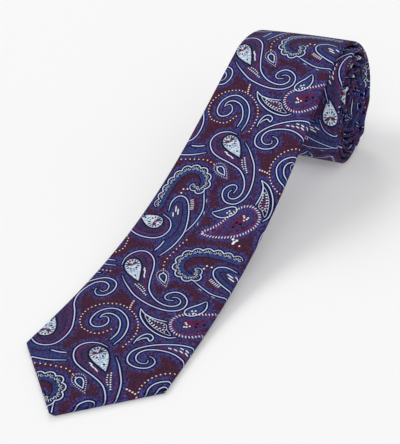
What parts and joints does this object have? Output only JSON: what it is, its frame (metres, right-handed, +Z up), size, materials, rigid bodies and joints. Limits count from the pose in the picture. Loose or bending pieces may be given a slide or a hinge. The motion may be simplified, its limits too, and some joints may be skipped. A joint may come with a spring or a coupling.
{
  "type": "necktie",
  "caption": "Paisley necktie rolled up from its narrow end, with the pointed wide blade laid out in front of the roll and hinged where it leaves it.",
  "frame": {"origin": "centre of the tie's outline, on the surface it lies on", "axes": "+Y from the blade's point towards the roll, +X along the roll's axis to the blade's right, +Z up"},
  "size_m": [0.091, 0.3208, 0.0748],
  "materials": {
    "paisley_cloth": "figured satin weave, maroon ground with blue and pale blue paisley, soft sheen",
    "interlining": "napped plain weave, undyed",
    "tipping": "smooth navy lining twill",
    "thread": "twisted silk thread",
    "woven_label": "plain woven satin, blank",
    "care_label": "white satin ribbon, blank"
  },
  "bodies": {
    "roll": {"rolled_blade_front": "paisley_cloth", "rolled_blade_interlining": "interlining", "rolled_blade_fold_left": "paisley_cloth", "rolled_blade_fold_right": "paisley_cloth", "blade_neck_seam": "paisley_cloth", "neck_front": "paisley_cloth", "neck_interlining": "interlining", "neck_fold_left": "paisley_cloth", "neck_fold_right": "paisley_cloth", "neck_tail_seam": "paisley_cloth", "tail_front": "paisley_cloth", "tail_interlining": "interlining", "tail_fold_left": "paisley_cloth", "tail_fold_right": "paisley_cloth", "tail_tipping": "tipping", "tail_bar_tack": "thread", "rolled_slip_stitches": "thread"},
    "blade": {"blade_front": "paisley_cloth", "blade_interlining": "interlining", "blade_fold_left": "paisley_cloth", "blade_fold_right": "paisley_cloth", "blade_tipping": "tipping", "blade_bar_tack": "thread", "blade_slip_stitches": "thread", "keeper_loop": "paisley_cloth", "keeper_stitches": "thread", "woven_label": "woven_label", "woven_label_stitches": "thread", "care_label": "care_label"}
  },
  "joints": [
    {"name": "blade_lift", "type": "hinge", "parent": "roll", "child": "blade", "pos_m": [0, 0.10441, 0.0705], "axis": [-1, 0, 0], "range_deg": [0, 60]}
  ]
}
